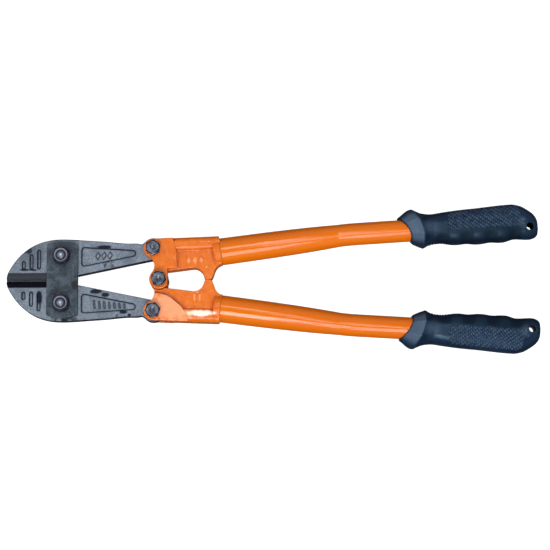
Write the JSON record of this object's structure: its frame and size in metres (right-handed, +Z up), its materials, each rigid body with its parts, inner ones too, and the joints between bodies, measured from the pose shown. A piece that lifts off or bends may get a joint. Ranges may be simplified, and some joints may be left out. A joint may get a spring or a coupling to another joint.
{
  "type": "bolt cutters",
  "caption": "Long-handled bolt cutters, closed and lying flat: compound-lever forged jaws between clevis plates, cast handle heads, tubular handles, moulded grips.",
  "frame": {"origin": "on the surface the tool lies on, under the middle of its bounding box", "axes": "+X from the jaw tips to the grips along the line where the jaws meet, +Z up, square to the flat of the tool"},
  "size_m": [0.457, 0.1292, 0.035],
  "materials": {
    "jaw_steel": "phosphated forged steel, mottled blue-grey",
    "plate_steel": "dark blued steel plate",
    "bolt_steel": "black-oxide steel with worn bright edges",
    "washer_steel": "black-oxide spring washers",
    "painted_casting": "gloss orange paint over a rough casting",
    "painted_tube": "gloss orange powder coat on smooth tube",
    "grip_rubber": "dark navy moulded rubber, satin, cross-cut panel"
  },
  "bodies": {
    "centre_pivot": {"centre_bolt": "bolt_steel", "centre_washer": "washer_steel", "centre_nut": "bolt_steel"},
    "upper_handle": {"upper_head": "painted_casting", "upper_tube": "painted_tube", "upper_grip": "grip_rubber", "upper_link_bolt": "bolt_steel", "upper_link_nut": "bolt_steel", "upper_link_washer": "washer_steel"},
    "lower_handle": {"lower_head": "painted_casting", "lower_tube": "painted_tube", "lower_grip": "grip_rubber", "lower_link_bolt": "bolt_steel", "lower_link_nut": "bolt_steel", "lower_link_washer": "washer_steel"},
    "upper_jaw": {"upper_jaw": "jaw_steel"},
    "lower_jaw": {"lower_jaw": "jaw_steel"},
    "clevis": {"front_plate": "plate_steel", "rear_plate": "plate_steel", "upper_jaw_bolt": "bolt_steel", "upper_jaw_washer": "washer_steel", "upper_jaw_nut": "bolt_steel", "lower_jaw_bolt": "bolt_steel", "lower_jaw_washer": "washer_steel", "lower_jaw_nut": "bolt_steel"}
  },
  "joints": [
    {"name": "upper_handle_turn", "type": "hinge", "parent": "centre_pivot", "child": "upper_handle", "pos_m": [-0.09735, 0, 0.0175], "axis": [0, 0, 1], "range_deg": [0, 40]},
    {"name": "lower_handle_turn", "type": "hinge", "parent": "centre_pivot", "child": "lower_handle", "pos_m": [-0.09735, 0, 0.0175], "axis": [0, 0, -1], "range_deg": [0, 40]},
    {"name": "upper_jaw_turn", "type": "hinge", "parent": "upper_handle", "child": "upper_jaw", "pos_m": [-0.10235, 0.0269, 0.0175], "axis": [0, 0, -1], "range_deg": [0, 46.3]},
    {"name": "lower_jaw_turn", "type": "hinge", "parent": "lower_handle", "child": "lower_jaw", "pos_m": [-0.10235, -0.0269, 0.0175], "axis": [0, 0, 1], "range_deg": [0, 46.3]},
    {"name": "clevis_slide", "type": "slide", "parent": "centre_pivot", "child": "clevis", "axis": [-1, 0, 0], "range_m": [0, 0.0172]}
  ],
  "couplings": [
    {"joint": "lower_handle_turn", "follows": "upper_handle_turn", "ratio": 1},
    {"joint": "upper_jaw_turn", "follows": "upper_handle_turn", "ratio": 1.1555},
    {"joint": "lower_jaw_turn", "follows": "upper_handle_turn", "ratio": 1.1555},
    {"joint": "clevis_slide", "follows": "upper_handle_turn", "m_per_rad": 0.0243}
  ]
}
